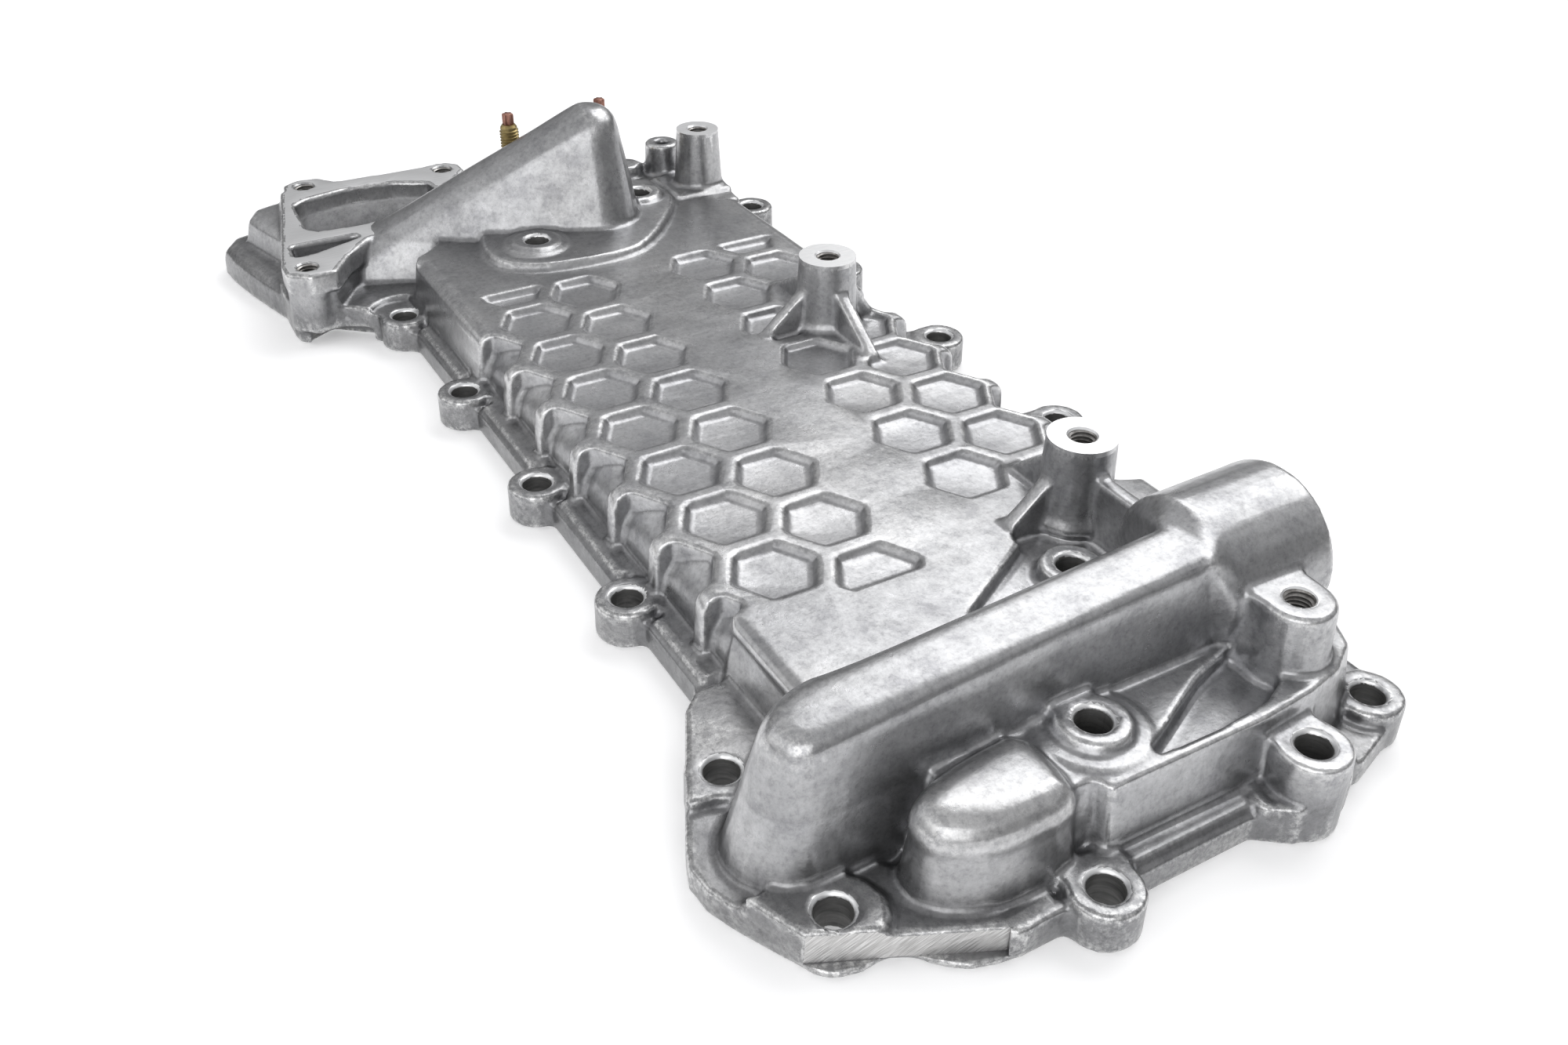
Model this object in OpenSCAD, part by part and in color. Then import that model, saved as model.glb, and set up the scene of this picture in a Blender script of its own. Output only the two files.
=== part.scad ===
// Cast cover of an engine's oil cooler, with its two studs.
// Millimetres, +Z up from the gasket face. Outlines are drawn in plan from the middle of the
// panel; the part's origin is the datum bolt hole on the gasket face (see datum_hole).

/* [Panel] */
// Height of the flat panel above the gasket face
panel_height = 30; // [27:0.5:36]
// Wall thickness of the casting
wall = 4; // [3:0.25:4.5]
// Distance between neighbouring honeycomb pockets
pocket_pitch = 28.85; // [27.8:0.05:29.2]
// Width of a pocket across its flats
pocket_flats = 23.2; // [17:0.2:24.6]
// Depth of the pockets
pocket_depth = 2.5; // [1:0.25:3]

/* [Gasket flange and bolts] */
// Thickness of the gasket flange
flange_thickness = 8.5; // [7:0.5:10]
// Height of the bolt bosses above the gasket face
boss_height = 12; // [11.5:0.5:15]
// Radius of the bolt bosses
boss_radius = 9.5; // [8.5:0.25:10]
// Diameter of the bolt holes
bolt_hole = 9.2; // [8.4:0.2:10]

/* [Coolant duct and pipe stub] */
// Height of the duct's ridge above the panel at the pipe
duct_rise = 28; // [24:1:32]
// Outside diameter of the pipe stub
pipe_diameter = 44; // [40:0.5:47]
// Bore of the pipe stub
pipe_bore = 36; // [30:0.5:38]
// Length of the pipe stub past its collar
pipe_length = 35; // [24:1:45]

/* [Posts] */
// Height of the two webbed posts above the panel
post_height = 25; // [18:1:34]
// Diameter of a post at its machined top
post_diameter = 20.4; // [17:0.2:23]
// Thread size of the posts
post_thread = 8; // [5:1:10]
// Depth of the threaded holes
thread_depth = 20; // [12:1:24]
// Thickness of the webs that brace the posts
web_thickness = 5; // [3:0.5:7]

/* [Hump and port flange] */
// Height of the hump above the panel
hump_rise = 46.5; // [38:0.5:54]
// Thickness of the port flange
port_flange_thickness = 8; // [6:0.5:11]
// Radius of the lugs round the port flange's threaded holes
port_lug = 8.5; // [7:0.25:10]

/* [Studs] */
// Diameter of a stud
stud_diameter = 8; // [6:0.5:8]
// Height of a stud's tip above the gasket face
stud_top = 68; // [58:1:80]
// Length of the lobed drive at a stud's tip
drive_length = 4.5; // [3:0.5:7]

/* [Hidden] */
$fn = 48;

// datum: the bolt hole in the middle of the straight row carries the part's origin
row_pitch = 69.1;
row_y = -87;
datum_hole = [31.2, row_y];

// bolts through the gasket flange
row_bolts = [for (i = [-2 : 1 : 1]) [datum_hole[0] + i * row_pitch - row_pitch, row_y]];
rear_pitch = 71.8;
rear_bolts = concat([for (i = [1 : -1 : -2]) [11.5 + i * rear_pitch, 87.2]], [[-210, 87.4]]);
corner_bolts = [[157.2, -95], [106.4, -96.1]];
end_bolt = [182, -37.6];
tall_bolt = [180, 27.4];
lug_bolt = [166, 66.3];
tall_boss_height = 2 * boss_height;

// bolts inside the chamber: [x, y, height of the boss above the panel]
inner_bolts = [[154.4, -21.8, 4], [100.7, 16.8, 1.2], [-169.2, -32.3, 5], [-196.1, 24.7, 5]];

// levels of the panel and the chamber below it
pocket_floor = panel_height - pocket_depth;
ceiling = pocket_floor - wall;
panel_mid_y = -6.9;
fin_y = panel_mid_y - 72.6;
side_round = 15.5;
chamber_y = fin_y + 1.5 + wall;
chamber_round = side_round - wall;
chamber_x = [-224, 166];

// honeycomb
line_gap = pocket_pitch * sin(60);
pocket_radius = pocket_flats / (2 * cos(30));
first_pocket = [-111.6, -55.4];
lines = [[1, 0, 6], [2, -1, 5], [4, -2, 4], [5, -2, 4]];
scallops = [1 : 7];
scallop_depth = 2.5;
// where the side channels may run, and where the ribs between them are rounded
side_span = [-240, 180];
rib_span = [-181, 73];
rib_round = 6;
scallop_field = [[-240, -120], [75.4, -120], [75.4, -80], [73.8, -75.5], [71.4, -71.2], [68.6, -67.5],
    [60, -60], [-240, -60]];
bead_start = [76, -73.9, 26.8];
bead_round = 2.8;

// threaded posts: [x, y]
near_post = [78.1, 35.2];
mid_post = [-62.2, 36.5];
far_post = [-202.8, 56.7];
lug_post = [155.4, 41.4];
small_post = [-225, 50];
post_top = panel_height + post_height;
lug_top = panel_height + 17;
small_top = panel_height + 13.5;
tap_radius = 0.425 * post_thread;
mouth_radius = 0.54 * post_thread;
small_thread_depth = 0.7 * thread_depth;

// pipe stub and duct
pipe_axis = [126, panel_height + 9.5];
collar_y = 28;
pipe_end = collar_y + pipe_length;
duct_mid = 133.9;
duct_slope = 0.072;
duct_round = 6;

// port flange, in plan
port_top = panel_height;
port_bolts = [[-281.8, -95.8], [-273.6, -36.4], [-197.5, -116.2]];
port_outline = [[-281, -104.6], [-279.5, -106.8], [-202, -125.2], [-194.1, -125.2], [-187.9, -117.5],
    [-188.4, -107], [-200.7, -99], [-215.3, -85.3], [-228.5, -63.1], [-249.9, -41.4], [-264.5, -31.5],
    [-269, -27.6], [-277, -27.4], [-281.5, -32], [-281, -57.3], [-282, -82], [-289.5, -88], [-291, -97],
    [-287, -103.8]];
tower_top = [[-279, -104.5], [-203, -122.5], [-196, -122.5], [-190.8, -116], [-191, -108],
    [-203, -100], [-217.5, -84], [-230.5, -61.5], [-251, -39.5], [-266, -30.5], [-277, -31],
    [-279, -57], [-279, -82]];
tower_foot = [[-280.5, -106.5], [-203, -124.6], [-195.5, -124.6], [-188.4, -117], [-188.5, -107],
    [-201, -98.5], [-215, -84], [-228.5, -63], [-249.5, -41], [-265, -30], [-279, -29.5],
    [-281, -57], [-281, -82]];
port_opening = [[-266.5, -99.5], [-262, -105], [-236.1, -106.7], [-230.6, -103.4], [-229.2, -89.3],
    [-229.9, -72.7], [-235.3, -55.8], [-248.7, -45], [-261.4, -47.1], [-268.7, -60.7], [-270.5, -81]];
port_slot = [[-220, -117], [-208.6, -118.1], [-209.6, -110], [-217, -90], [-220, -91]];

// studs: [x, y] and the blind holes they sit in
stud_seats = [[-222, -21], [-222, 20]];
stud_boss_top = panel_height + 11;
stud_seat_z = stud_boss_top - 16;
stud_fit = 0.1;

// casting outlines, in plan, counter-clockwise
flange_outline = [[-232, -70], [-205, -124.5], [-199.5, -125.2], [-196, -121], [-183.5, -97.5],
    [-168, -91], [-164, -86.5], [72, -86.5], [77.4, -89], [82.5, -94.3], [101.2, -103.7],
    [121.4, -113.9], [127.5, -116.2], [135.2, -115.8], [144.1, -112.3], [155.6, -106.6],
    [161.5, -102.6], [164.2, -98.5], [165.2, -92], [166.7, -86.6], [169.4, -81.5], [174.5, -77.6],
    [178.6, -72.4], [180.6, -66], [181.4, -60.2], [181.5, -50], [181.3, -20], [181.2, 16],
    [180.8, 49.4], [175.1, 66.2], [168, 74], [158, 77.5], [-222, 77.5], [-229, 74], [-233, 66],
    [-233, 30]];
// panel and near plateau: top edge and foot of the drafted walls, point by point
body_top = [[-189.5, -71], [-186.5, -76], [-181, -78.3], [64, -79.2], [71.5, -79.2], [76, -73.4],
    [112, -73.4], [150, -62], [168, -50], [169.5, -42.5], [167, -41], [167, -32], [171.5, -30],
    [171.6, 18], [170, 36], [167.5, 48], [161.5, 58], [150, 64], [100, 65.4], [-170, 65.4],
    [-205, 66], [-219, 64], [-227, 55], [-228, 20], [-228, -20], [-216, -58], [-196, -64.5]];
body_foot = [[-192, -75], [-188, -79.5], [-183, -81], [64, -80.3], [73, -80.3], [78, -80],
    [112, -79.6], [150, -64], [172, -50], [173.5, -42.5], [169.5, -41], [169.5, -33], [174.5, -31],
    [174.8, 18], [173.5, 36], [170, 50], [163.5, 61.5], [150, 67], [100, 66.4], [-170, 66.4],
    [-205, 70], [-222, 68], [-230.5, 57], [-231.5, 20], [-231.5, -20], [-216, -62], [-200, -70]];
body_foot_z = 6;
// plate round the far end's feet
base_plate = [[-198, -115.6], [-181.5, -97.2], [-170, -89], [-170, -60], [-200, -40], [-230, -40],
    [-289, -60], [-291, -98], [-281, -110], [-216, -124.4], [-200, -125]];
base_plate_top = 14;
foot_gap_z = 5.5;
// ground band: where it starts, its direction, length and lower edge
band_start = [161.3, -101.6];
band_angle = 65.2;
band_length = 46;
band_foot = 2.2;
seat_clearance = 13.5;
// raised arc round the far inner bolts
arc_outline = cut_corners([[-184, -49.5], [-171, -52.6], [-158.2, -50.4], [-150.2, -39.6], [-147.2, -23.6],
    [-146.6, -5], [-150.9, 6.5], [-165.8, 21.4], [-182.9, 34.2], [-192.4, 38.5], [-218, 36],
    [-218, -20], [-196, -45]]);
arc_rise = 3;
// triangular recess beside the duct and the step round the covered inner bolt
end_recess = [[147.5, 29.5], [152.5, 14], [166.4, -14.5], [168, -12], [168.4, 5], [167, 23],
    [162.5, 33], [150, 33]];
bolt_recess = [[103, -20], [120, -20], [120, 34], [98.9, 33.1], [86.9, 33.6], [78.9, 26.8],
    [76.5, 13], [84.9, 11]];
recess_depth = 5;
bolt_recess_depth = 4;

// small bulge in front of the duct
bulge_top = cut_corners([[146, -37], [147.5, -56], [150.4, -69], [155, -75.6], [161.5, -76.8],
    [167, -73.5], [170.8, -66.6], [172.8, -58.4], [172.6, -42], [168, -37]]);
bulge_rise = 5;
bulge_round = 7.5;

// Helpers

function inset(p, d) = [for (i = [0 : len(p) - 1])
    let (a = p[(i + len(p) - 1) % len(p)], b = p[i], c = p[(i + 1) % len(p)],
         e = (b - a) / norm(b - a), f = (c - b) / norm(c - b),
         n = [-e[1] - f[1], e[0] + f[0]])
    b + d * n / (1 + e * f)];

// closed outline with each corner cut into two at a quarter of its sides
function cut_corners(p) = [for (i = [0 : len(p) - 1])
    let (a = p[i], b = p[(i + 1) % len(p)])
    each [0.75 * a + 0.25 * b, 0.25 * a + 0.75 * b]];

// list with a smooth value between each two of its values, and none where skip says
function between(p, skip = -1) = [for (i = [0 : len(p) - 1])
    each (i == len(p) - 1 || i == skip) ? [p[i]]
        : [p[i], (9 * (p[i] + p[i + 1]) - p[max(i - 1, 0)] - p[min(i + 2, len(p) - 1)]) / 16]];

function at_height(p, z) = [for (q = p) [q[0], q[1], z]];

// point a distance r from b towards a, but never past it, and the rounded corner at b between two
// such points
function towards(b, a, r) = b + min(r / norm(a - b), 0.92) * (a - b);
function corner(a, b, c, t) = (1 - t) * (1 - t) * a + 2 * t * (1 - t) * b + t * t * c;

// solid between rings of equal length, with a flat polygon or a ladder of strips as caps
module skin(rings, ladder = false) {
    n = len(rings[0]);
    m = len(rings);
    last = (m - 1) * n;
    sides = [for (j = [0 : m - 2], i = [0 : n - 1])
        let (a = j * n + i, b = j * n + (i + 1) % n)
        each [[a, b + n, b], [a, a + n, b + n]]];
    flat_caps = [[for (i = [0 : n - 1]) i], [for (i = [n - 1 : -1 : 0]) last + i]];
    strips = [for (i = [0 : n / 2 - 2])
        let (a = i, b = i + 1, c = n - 2 - i, d = n - 1 - i)
        each [[a, b, c], [a, c, d], [last + c, last + b, last + a], [last + d, last + c, last + a]]];
    polyhedron([for (r = rings) each r], concat(sides, ladder ? strips : flat_caps));
}

// level block with drafted walls and a rounded top edge
module pillow(outline, z0, z1, draft, r, steps = 3) {
    wall_rings = [at_height(inset(outline, -draft * (z1 - z0)), z0), at_height(outline, z1 - r)];
    edge_rings = [for (i = [1 : steps]) let (a = 90 * i / steps)
        at_height(inset(outline, r * (1 - cos(a))), z1 - r + r * sin(a))];
    skin(concat(wall_rings, edge_rings));
}

// ridge whose walls run from a foot line to a rounded crest along a spine; each foot point is
// [x, y], each crest point [x, y, z], and spine point i serves crest points i and n - 1 - i
module ridge(base_z, foot_z, feet, crest, spine, r, steps = 4) {
    n = len(feet);
    foot = [for (i = [0 : n - 1]) [feet[i][0], feet[i][1], foot_z[i]]];
    mid = [for (i = [0 : n - 1]) spine[i < n / 2 ? i : n - 1 - i]];
    edge = [for (s = [0 : steps]) [for (i = [0 : n - 1])
        corner(towards(crest[i], foot[i], r), crest[i], towards(crest[i], mid[i], r), s / steps)]];
    skin(concat([at_height(feet, base_z)], [foot], edge), ladder = true);
}

// the same ridge drawn in by the wall thickness, for the hollow below it
module ridge_hollow(feet, crest, spine, r, t) {
    n = len(feet);
    mid = [for (i = [0 : n - 1]) spine[i < n / 2 ? i : n - 1 - i]];
    inner_feet = [for (i = [0 : n - 1]) towards(feet[i], [mid[i][0], mid[i][1]], t * 1.15)];
    inner_crest = [for (i = [0 : n - 1]) towards(crest[i], mid[i], t) - [0, 0, t]];
    inner_spine = [for (s = spine) s - [0, 0, t]];
    ridge(-2, [for (i = [0 : n - 1]) 1], inner_feet, inner_crest, inner_spine, max(r - t, 1.5), 2);
}

// web in a vertical plane: starts on the axis at p, runs a length in a direction, top falls from z1
module web(p, direction, length, z1, end_z, start = 0) {
    translate([p[0], p[1], 0])
        rotate([0, 0, direction])
            rotate([90, 0, 0])
                translate([0, 0, -web_thickness / 2])
                    linear_extrude(web_thickness)
                        polygon([[start, panel_height - 3], [length, panel_height - 3],
                            [length, end_z], [post_diameter / 2 - 2, z1], [start, z1]]);
}

module boss(p, z0, z1, r, draft = 0.02) {
    translate([p[0], p[1], z0])
        cylinder(h = z1 - z0, r1 = r + draft * (z1 - z0), r2 = r, $fn = 64);
}

module drilled(p, z1, d, depth, chamfer = 0.9) {
    translate([p[0], p[1], z1 - depth])
        cylinder(h = depth + 1, d = d);
    if (chamfer > 0)
        translate([p[0], p[1], z1 - chamfer])
            cylinder(h = chamfer + 0.02, r1 = d / 2, r2 = d / 2 + chamfer + 0.02);
}

// Duct and hump: feet, crest and spine of the two ridges

duct_feet = [[122.5, 24], [122.5, -10], [122.5, -40], [121, -62], [113, -74], [99.5, -80.2],
    [105, -86], [113.7, -94.5], [119.3, -101.5], [123, -105.8], [127.5, -108.6], [133, -109.8],
    [138.5, -108.8], [143.5, -105.7], [147.3, -101.8], [149, -97], [148.8, -90], [148.3, -84],
    [148, -77], [147.8, -68], [147.5, -50], [147, -25], [147, 0], [147, 24]];
duct_crest = [for (p = [[124, 24], [124, -10], [124, -40], [124, -62], [124, -74], [124.2, -82],
        [124.8, -88], [126, -92.4], [128, -95.7], [130, -97.6], [132.5, -98.8], [134.6, -99.2],
        [137, -98.9], [139.5, -97.9], [141.7, -96], [143.1, -93], [143.6, -88], [143.8, -82],
        [143.8, -75], [143.8, -66], [143.7, -50], [143.6, -25], [143.5, 0], [143.5, 24]])
    [p[0], p[1], panel_height + duct_rise + duct_slope * (p[1] - 21)]];
duct_spine = [for (p = [[duct_mid, 24], [duct_mid, -10], [duct_mid, -40], [duct_mid, -62],
        [duct_mid, -74], [134, -80], [134.1, -84], [134.3, -86.5], [134.6, -88], [134.8, -88.8],
        [135, -89.3], [135.2, -89.6]])
    [p[0], p[1], panel_height + duct_rise + duct_slope * (p[1] - 21)]];

hump_feet = [[-206, -96], [-202, -84], [-197.5, -72], [-193, -58], [-184.5, -42], [-177, -22],
    [-169, -4], [-168.5, 4], [-173, 12.5], [-186, 19.6], [-198, 21], [-209, 17], [-215, 8],
    [-216.5, -5], [-219, -20], [-223, -38], [-228, -52], [-232, -64], [-236, -76], [-238, -88]];
hump_foot_z = [13, 13, 15, 28, 30, 32, 33, 33, 33, 33, 33, 33, 33, 33, 33, 30, 28, 26, 24, 22];
// crest: plan position and height as a part of hump_rise
hump_crest = [for (p = [[-212, -91, -0.08], [-208.5, -79, 0.05], [-203, -64, 0.24],
        [-197.5, -48, 0.44], [-192.2, -33, 0.62], [-186.5, -16, 0.82], [-182.4, -2, 0.98],
        [-182.2, 4, 1], [-184.6, 9.2, 1], [-189, 11.8, 1], [-195, 11.8, 1], [-199.6, 9.2, 1],
        [-202.2, 4, 1], [-202.6, -2, 0.98], [-205.8, -16, 0.82], [-211, -33, 0.62],
        [-216, -48, 0.44], [-221.5, -64, 0.24], [-227.5, -79, 0.05], [-231, -91, -0.08]])
    [p[0], p[1], panel_height + p[2] * hump_rise]];
hump_spine = [for (i = [0 : 9])
    let (k = min(i, 7), a = hump_crest[k], b = hump_crest[19 - k])
    (a + b) / 2 + (i < 7 ? [0, 0, 0] : [0, -1.2 * (9 - i) - 3, 0])];
hump_round = 8.2;

// The casting

module ground_band() {
    // plane ground across the lobed corner and its boss
    translate([band_start[0], band_start[1], band_foot])
        rotate([0, 0, band_angle])
            translate([-3, -12, 0]) cube([band_length, 12, 20]);
}

module flange_plate() {
    linear_extrude(flange_thickness) polygon(flange_outline);
    translate([0, 0, band_foot])
        linear_extrude(flange_thickness + 1.5 - band_foot)
            polygon([[148.5, -86], [150, -77], [156, -73], [165, -72], [171, -67], [176, -62],
                [176, -48.8], [181.3, -49.4], [182, -60], [180.4, -64.3], [168.6, -90], [160, -88]]);
    // ground corner plate between the duct's foot and the outline
    linear_extrude(boss_height)
        polygon([[77, -79], [77, -86.4], [77.4, -88.9], [82.5, -94.2], [101, -103.5],
            [112.8, -109.3], [114.2, -101.5], [110, -92], [113, -79]]);
    linear_extrude(boss_height)
        polygon([[144, -111], [147, -98], [148.6, -88.5], [152.5, -84.6], [158.9, -82.8],
            [163.5, -84.4], [167, -87.4], [167.5, -94], [162.5, -103], [155.6, -106.5]]);
    // beads along the straight strips
    for (i = [0 : len(row_bolts) - 2])
        translate([row_bolts[i][0] + boss_radius + 2.5, -84.4, 4])
            cube([row_pitch - 2 * boss_radius - 5, 2.6, flange_thickness - 4 + 2.3]);
    translate([datum_hole[0] + boss_radius + 2.5, -84.4, 4])
        cube([30, 2.6, flange_thickness - 4 + 2.3]);
    translate([175.8, -27, 4]) cube([3.2, 39, flange_thickness - 4 + 2.4]);
    translate([-150, 70.4, 4]) cube([292, 2.6, flange_thickness - 4 + 1.8]);
}

module bolt_bosses() {
    for (p = concat(row_bolts, corner_bolts, rear_bolts)) boss(p, 0, boss_height, boss_radius);
    for (p = rear_bolts)
        linear_extrude(boss_height - 0.6)
            polygon([[p[0] - boss_radius - 2.5, 66], [p[0] + boss_radius + 2.5, 66],
                [p[0] + boss_radius - 0.4, p[1] - 3], [p[0] - boss_radius + 0.4, p[1] - 3]]);
    boss(end_bolt, 0, boss_height, boss_radius);
    linear_extrude(boss_height)
        polygon([[172, -45], end_bolt + [-5, -8], end_bolt + [4, -8.4], end_bolt + [8, 4.6],
            end_bolt + [-3, 10], [172, -28.2]]);
    boss(tall_bolt, 0, tall_boss_height, boss_radius + 0.2, 0.03);
    linear_extrude(tall_boss_height)
        polygon([[168, 22], tall_bolt + [-5, -8.4], tall_bolt + [4, -8.4], tall_bolt + [6, 7.6],
            tall_bolt + [-4, 9], [168, 34.5]]);
    linear_extrude(boss_height)
        polygon([[172, 13.2], tall_bolt + [2, -16], tall_bolt + [8, -8.4], tall_bolt + [6, 10.6],
            tall_bolt + [0, 18.6], [172, 46]]);
    boss(lug_bolt, 0, boss_height + 1, boss_radius + 0.1);
    linear_extrude(boss_height + 1)
        polygon([[156, 58], lug_bolt + [0, -9.5], lug_bolt + [6, -7.8], lug_bolt + [9.2, -2.3],
            lug_bolt + [2, 9.5], [157, 72]]);
}

module panel_body() {
    difference() {
        skin([at_height(body_foot, body_foot_z), at_height(body_top, panel_height)]);
        pockets();
        translate([0, 2 * panel_mid_y, 0]) mirror([0, 1, 0]) side_scallops();
        side_scallops();
    }
    // bead along the panel's edge beside the duct
    translate([bead_start[0], bead_start[1], bead_start[2]])
        rotate([0, 90, 0]) cylinder(h = duct_mid - bead_start[0] - 8, r = bead_round, $fn = 48);
}

function pocket_centre(line, k) =
    [first_pocket[0] + (k + 0.5 * (line - 1)) * pocket_pitch,
     first_pocket[1] + (line - 1) * line_gap];

module pocket(line, k, z0) {
    c = pocket_centre(line, k);
    translate([c[0], c[1], z0])
        rotate([0, 0, 30])
            cylinder(h = panel_height + 5 - z0, r = pocket_radius, $fn = 6);
}

module pockets() {
    for (l = lines, k = [l[1] : l[2]])
        if (!(l[0] == 5 && k == -1)) pocket(l[0], k, pocket_floor);
    // pockets cut short at the ends of the field
    intersection() {
        union() {
            pocket(1, -1, pocket_floor);
            pocket(5, -3, pocket_floor);
        }
        translate([pocket_centre(1, -1)[0] + 1.5, -100, 0]) cube([200, 200, 60]);
    }
    intersection() {
        pocket(2, 6, pocket_floor);
        translate([40, -100, 0])
            cube([pocket_centre(2, 6)[0] - 36, 200, 60]);
    }
}

// half pockets that run out over the rounded shoulder of the side wall as straight channels
module side_scallops() {
    intersection() {
        union() for (k = scallops) {
            c = pocket_centre(0, k);
            pocket(0, k, boss_height - 1);
            translate([c[0] - pocket_flats / 2, c[1] - pocket_pitch, boss_height - 1])
                cube([pocket_flats, pocket_pitch, panel_height]);
        }
        difference() {
            translate([side_span[0], fin_y - pocket_pitch, 0])
                cube([side_span[1] - side_span[0], 2 * pocket_pitch, 2 * panel_height]);
            translate([side_span[0], fin_y + scallop_depth + side_round, boss_height])
                rotate([0, 90, 0]) cylinder(h = side_span[1] - side_span[0], r = side_round, $fn = 96);
            translate([side_span[0], fin_y + scallop_depth + side_round, -1])
                cube([side_span[1] - side_span[0], 2 * pocket_pitch, pocket_floor + 1]);
            translate([side_span[0], fin_y + scallop_depth, -1])
                cube([side_span[1] - side_span[0], 2 * pocket_pitch, boss_height + 1]);
        }
        linear_extrude(2 * panel_height) polygon(scallop_field);
    }
    // rounded outer corner of the ribs
    difference() {
        translate([rib_span[0], fin_y - rib_round, panel_height - rib_round])
            cube([rib_span[1] - rib_span[0], 2 * rib_round, 2 * rib_round]);
        translate([rib_span[0] - 1, fin_y + rib_round, panel_height - rib_round])
            rotate([0, 90, 0])
                cylinder(h = rib_span[1] - rib_span[0] + 2, r = rib_round, $fn = 64);
    }
}

module duct() {
    ridge(4, [for (f = duct_feet) 8], duct_feet, duct_crest, duct_spine, duct_round);
    // collar that carries the ridge over into the round stub
    hull() {
        translate([duct_mid, 21, panel_height + duct_rise - 13]) cube([18, 1, 24], center = true);
        translate([pipe_axis[0], collar_y + 0.5, pipe_axis[1]])
            rotate([-90, 0, 0]) cylinder(h = 2, d = pipe_diameter - 0.8);
    }
}

module pipe_stub() {
    translate([pipe_axis[0], collar_y, pipe_axis[1]])
        rotate([-90, 0, 0])
            cylinder(h = pipe_length, r1 = pipe_diameter / 2 - 0.2, r2 = pipe_diameter / 2 + 0.6,
                $fn = 96);
}

module bulge() {
    pillow(bulge_top, panel_height - 4.5, panel_height + bulge_rise, -0.03, bulge_round, 4);
    pillow(inset(bulge_top, 0.9), 6, panel_height, 0.11, 1.5, 1);
}

module hump() {
    ridge(4, between(hump_foot_z, 9), between(hump_feet, 9), between(hump_crest, 9),
        between(hump_spine), hump_round);
}

module port_tower() {
    // machined flange on a drafted tower
    translate([0, 0, port_top - port_flange_thickness])
        linear_extrude(port_flange_thickness) polygon(port_outline);
    skin([at_height(tower_foot, 0), at_height(tower_top, port_top - 4)]);
    for (p = port_bolts) boss(p, 6, port_top, port_lug, 0.03);
    // base plate and its rounded foot lobes
    linear_extrude(base_plate_top) polygon(base_plate);
    pillow([[-207, -100], [-240, -95], [-286, -100], [-288, -118], [-284, -130], [-275, -135.5],
        [-263.4, -134.5], [-246.2, -131.2], [-233, -128], [-218.6, -124.2], [-207, -120]],
        0, base_plate_top - 0.6, 0.03, 6.5);
    pillow([[-225, -98], [-280, -98], [-283, -110], [-279, -120], [-271, -124], [-262, -122],
        [-225, -112]], 6, 26, 0.16, 6);
}

module hidden_bosses() {
    // bosses behind the hump that carry the studs, and the small lug beside them
    for (p = stud_seats) boss(p, 6, stud_boss_top, 8, 0.03);
    boss([-229, 34], 6, panel_height + 5, 6.5, 0.03);
}

module posts() {
    for (p = [near_post, mid_post]) {
        boss(p, panel_height - 3, post_top, post_diameter / 2, 0.045);
        boss(p, panel_height - 1, panel_height + 2.4, post_diameter / 2 + 1.4, 0.5);
    }
    web_top = post_top - 9;
    web(mid_post, -90, 26.5, web_top, panel_height);
    web(mid_post, 0, 33, web_top, panel_height);
    web(mid_post, 90, 19.5, web_top, panel_height);
    web(mid_post, 180, 36, web_top, panel_height);
    web(near_post, -94, 24, web_top, panel_height);
    web(near_post, 180, 28, web_top, panel_height);
    // the near post's web to the pipe keeps its height
    translate([near_post[0], near_post[1] - web_thickness / 2, panel_height - 3])
        rotate([90, 0, 90]) linear_extrude(36)
            polygon([[0, 0], [web_thickness, 0], [web_thickness, web_top - panel_height + 3.5],
                [0, web_top - panel_height + 3.5]]);
    boss(far_post, panel_height - 8, post_top, post_diameter / 2 - 1.2, 0.06);
    translate([far_post[0] - 13, far_post[1] - 16, panel_height - 10])
        cube([25.5, 26, 10 + 1.5]);
    boss(small_post, 6, small_top, 7.4, 0.03);
    lug_column();
}

module lug_column() {
    lug_outline = concat([[144.8, 31]],
        [for (a = [-105 : 15 : 90]) lug_post + 9.8 * [cos(a), sin(a)]], [[146, 51.3]]);
    pillow(lug_outline, 10, lug_top, 0.06, 1, 1);
}

module outer_body() {
    difference() {
        union() {
            flange_plate();
            bolt_bosses();
        }
        ground_band();
    }
    panel_body();
    bulge();
    arc_plateau();
    inner_bosses();
    hump();
    port_tower();
    hidden_bosses();
}

module arc_plateau() {
    skin([at_height(inset(arc_outline, -1.2), panel_height - 4),
        at_height(inset(arc_outline, -1.2), panel_height),
        at_height(arc_outline, panel_height + arc_rise)]);
}

module inner_bosses() {
    for (b = inner_bolts) boss(b, 8, panel_height + b[2], boss_radius, 0.01);
    boss(inner_bolts[0], 8, panel_height + 1, 14, 0.05);
    boss(inner_bolts[2], 8, panel_height + arc_rise + 0.9, 12.6, 0.05);
}

module recesses() {
    translate([0, 0, panel_height - recess_depth]) linear_extrude(60) polygon(end_recess);
    translate([0, 0, panel_height - bolt_recess_depth]) linear_extrude(60) polygon(bolt_recess);
}

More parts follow.
